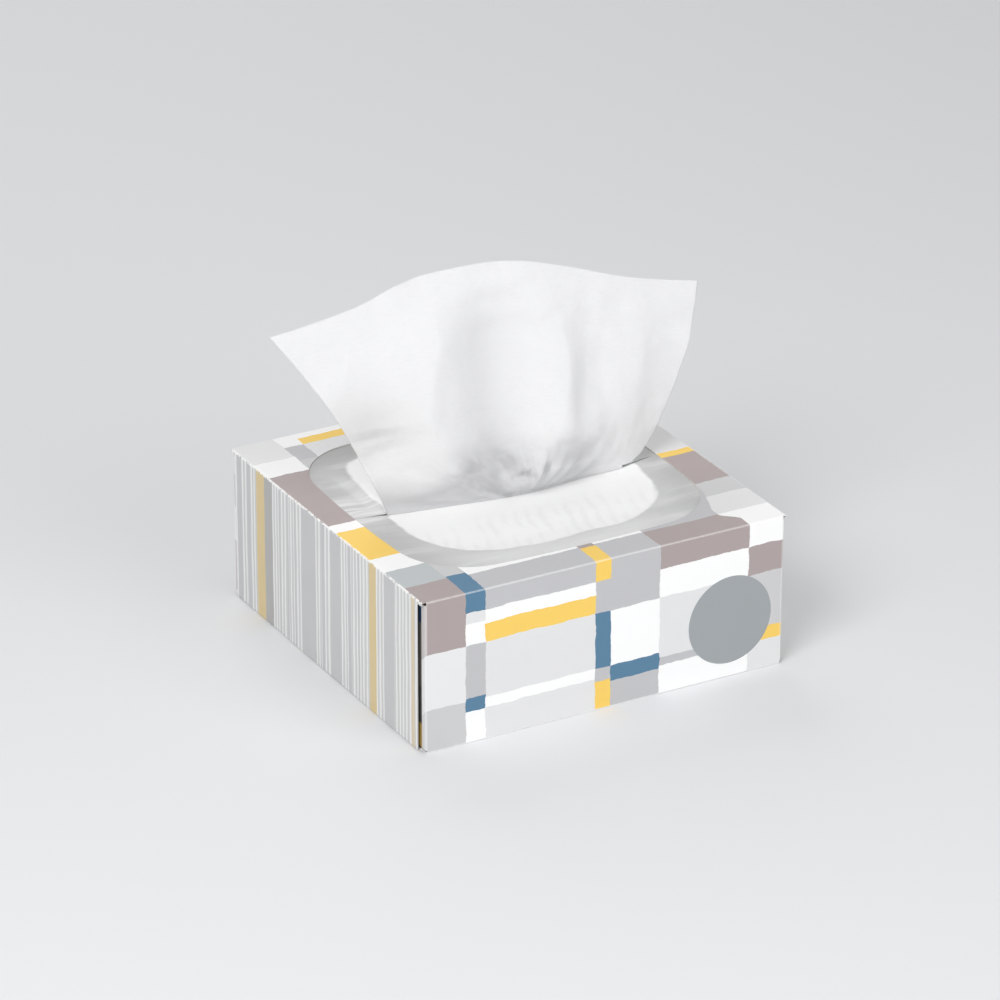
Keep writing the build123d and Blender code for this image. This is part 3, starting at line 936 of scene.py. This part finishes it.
def sheet_path(across, s, rows):
    """Run one column of the raised sheet from the end of its tail to its upper edge."""
    edge_rise = through(UPPER_EDGE, across)
    foot_x = foot_place(across)
    foot_y = slit_line(foot_x * MM) / MM
    tail_z = STACK_HIGH.z / MM + 0.75
    tail_steps = 17
    points = []
    for r in range(tail_steps):
        back = TAIL_LENGTH * (1 - r / tail_steps) ** 1.1
        wave = 0.25 * noise.noise(Vector((foot_x * 0.1, back * 0.06, 0.7))) * ease(back / 6)
        points.append(Vector((foot_x, foot_y + back + 0.6, tail_z + wave)) * MM)

    # The sheet turns up from its tail into the slit
    for back, lift in ((1.4, 0.02), (0.6, 0.16), (0.18, 0.5), (0.02, 1.0), (0, 1.7)):
        points.append(Vector((foot_x, foot_y + back, tail_z + lift)) * MM)
    for r in range(rows):
        step = r / (rows - 1)
        points.append(sheet_place(across, edge_rise * step**1.15, edge_rise, s))
    return points


def make_raised_sheet(s):
    """One sheet: its tail on the stack, its gather in the slit, and its soft folds above."""
    columns, rows = 230, 120
    paths = [sheet_path(2 * c / (columns - 1) - 1, s, rows) for c in range(columns)]
    length_count = len(paths[0])
    middle = [point for path in paths for point in path]
    quads = grid_faces(columns, length_count)
    shape = bpy.data.meshes.new("raised_sheet_middle")
    shape.from_pydata(middle, [], quads)
    shape.update()
    normals = [vertex.normal.copy() for vertex in shape.vertices]
    bpy.data.meshes.remove(shape)
    half = s.thickness / 2
    front = [point + normal * half for point, normal in zip(middle, normals)]
    back = [point - normal * half for point, normal in zip(middle, normals)]
    offset = len(middle)
    faces = quads + [tuple(i + offset for i in quad)[::-1] for quad in quads]
    rim = [c * length_count for c in range(columns)]
    rim += [(columns - 1) * length_count + r for r in range(1, length_count)]
    rim += [c * length_count + length_count - 1 for c in range(columns - 2, -1, -1)]
    rim += range(length_count - 2, 0, -1)
    for here, after in zip(rim, rim[1:] + rim[:1]):
        faces.append((after, here, here + offset, after + offset))
    material = tissue_paper("raised_tissue_paper", s.tissue, s.translucency, True)
    return new_piece("raised_sheet", front + back, faces, material)


class TISSUEBOX_OT_print_carton(bpy.types.Operator):
    """Print the carton's board"""

    bl_idname = "tissuebox.print_carton"
    bl_label = "Print Carton"

    def execute(self, context):
        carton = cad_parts["carton"]
        material = printed_board(context.scene.tissuebox_print)
        for slot in carton.material_slots:
            slot.material = material
        return {"FINISHED"}


class TISSUEBOX_OT_film_window(bpy.types.Operator):
    """Stretch the slit film under the window"""

    bl_idname = "tissuebox.film_window"
    bl_label = "Film Window"

    def execute(self, context):
        film = make_film(context.scene.tissuebox_film)
        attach(film, "root")
        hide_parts("window_film")
        return {"FINISHED"}


class TISSUEBOX_OT_fill_box(bpy.types.Operator):
    """Fill the box with interfolded sheets"""

    bl_idname = "tissuebox.fill_box"
    bl_label = "Fill Box"

    def execute(self, context):
        stack = make_stack(context.scene.tissuebox_stack)
        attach(stack, "root")
        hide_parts("tissue_stack")
        return {"FINISHED"}


class TISSUEBOX_OT_raise_sheet(bpy.types.Operator):
    """Raise one sheet through the slit"""

    bl_idname = "tissuebox.raise_sheet"
    bl_label = "Raise Sheet"

    def execute(self, context):
        sheet = make_raised_sheet(context.scene.tissuebox_sheet)
        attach(sheet, "root")
        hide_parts("raised_tissue")
        return {"FINISHED"}


def add_lamp(name, place, size, watts):
    """Hang a square soft lamp that faces the box."""
    data = bpy.data.lights.new(name, "AREA")
    data.shape = "SQUARE"
    data.size = size
    data.energy = watts
    lamp = bpy.data.objects.new(name, data)
    lamp.location = place
    lamp.rotation_mode = "QUATERNION"
    lamp.rotation_quaternion = (LAMPS_AIM - Vector(place)).to_track_quat("-Z", "Y")
    bpy.context.scene.collection.objects.link(lamp)


def light_world(strength):
    """Even sky light, and plain white for what the camera and the gloss see behind the box."""
    w = Wiring(bpy.data.worlds.new("studio"))
    rays = w.node("ShaderNodeLightPath").outputs
    seen_rays = w.math("MAXIMUM", rays["Is Camera Ray"], rays["Is Glossy Ray"])
    seen_rays = w.math("MAXIMUM", seen_rays, rays["Is Transmission Ray"])
    white = (1, 1, 1, 1)
    sky = w.node("ShaderNodeBackground", {"Color": white, "Strength": strength})
    seen = w.node("ShaderNodeBackground", {"Color": white, "Strength": 1.0})
    mixed = w.node("ShaderNodeMixShader", {0: seen_rays, 1: sky.outputs[0], 2: seen.outputs[0]})
    bpy.context.scene.world = w.finish(mixed, "ShaderNodeOutputWorld")


def add_camera():
    """Stand the camera where the photograph was taken from."""
    data = bpy.data.cameras.new("camera")
    data.sensor_width = SENSOR_WIDTH
    data.lens = FOCAL_LENGTH
    data.clip_start = 0.05
    data.clip_end = 50
    camera = bpy.data.objects.new("camera", data)
    forward = CAMERA_FORWARD.normalized()
    up = CAMERA_RIGHT.normalized().cross(forward).normalized()
    right = forward.cross(up).normalized()
    turn = Matrix((right, up, -forward)).transposed().to_4x4()
    camera.matrix_world = Matrix.Translation(CAMERA_PLACE) @ turn
    bpy.context.scene.collection.objects.link(camera)
    bpy.context.scene.camera = camera


class TISSUEBOX_OT_set_stage(bpy.types.Operator):
    """Set the floor, lamps and camera"""

    bl_idname = "tissuebox.set_stage"
    bl_label = "Set Stage"

    def execute(self, context):
        stage = context.scene.tissuebox_stage
        span = 6.0
        corners = [(-span, -span, 0), (span, -span, 0), (span, span, 0), (-span, span, 0)]
        floor = new_piece("floor", corners, [(0, 1, 2, 3)], pale_floor(stage.floor))
        add_lamp("key_lamp", (-1.45, -1.0, 1.65), 1.1, stage.key_power)
        add_lamp("fill_lamp", (0.7, -2.0, 1.1), 1.4, stage.fill_power)
        add_lamp("back_lamp", (0.2, 1.7, 1.7), 1.2, stage.back_power)
        light_world(stage.sky)
        add_camera()
        context.scene.view_settings.view_transform = "Standard"
        return {"FINISHED"}


GROUPS = (
    ("tissuebox_print", PrintSettings, "Carton print"),
    ("tissuebox_film", FilmSettings, "Window film"),
    ("tissuebox_stack", StackSettings, "Stack"),
    ("tissuebox_sheet", SheetSettings, "Raised sheet"),
    ("tissuebox_stage", StageSettings, "Stage"),
)
OPERATORS = (
    TISSUEBOX_OT_set_stage,
    TISSUEBOX_OT_print_carton,
    TISSUEBOX_OT_film_window,
    TISSUEBOX_OT_fill_box,
    TISSUEBOX_OT_raise_sheet,
)


class TISSUEBOX_PT_sidebar(bpy.types.Panel):
    """Tissue box tools and settings"""

    bl_idname = "TISSUEBOX_PT_sidebar"
    bl_label = "Tissue Box"
    bl_space_type = "VIEW_3D"
    bl_region_type = "UI"
    bl_category = "Tissue Box"

    def draw(self, context):
        for operator in OPERATORS:
            self.layout.operator(operator.bl_idname)
        for name, group, title in GROUPS:
            box = self.layout.box()
            box.label(text=title)
            settings = getattr(context.scene, name)
            for key in group.__annotations__:
                box.prop(settings, key)


def register():
    for name, group, title in GROUPS:
        bpy.utils.register_class(group)
        setattr(bpy.types.Scene, name, bpy.props.PointerProperty(type=group, name=title))
    for part in (*OPERATORS, TISSUEBOX_PT_sidebar):
        bpy.utils.register_class(part)


def unregister():
    for part in (TISSUEBOX_PT_sidebar, *reversed(OPERATORS)):
        bpy.utils.unregister_class(part)
    for name, group, title in reversed(GROUPS):
        delattr(bpy.types.Scene, name)
        bpy.utils.unregister_class(group)


def main():
    register()
    for operator in OPERATORS:
        family, action = operator.bl_idname.split(".")
        getattr(getattr(bpy.ops, family), action)()


if __name__ == "__main__":
    main()
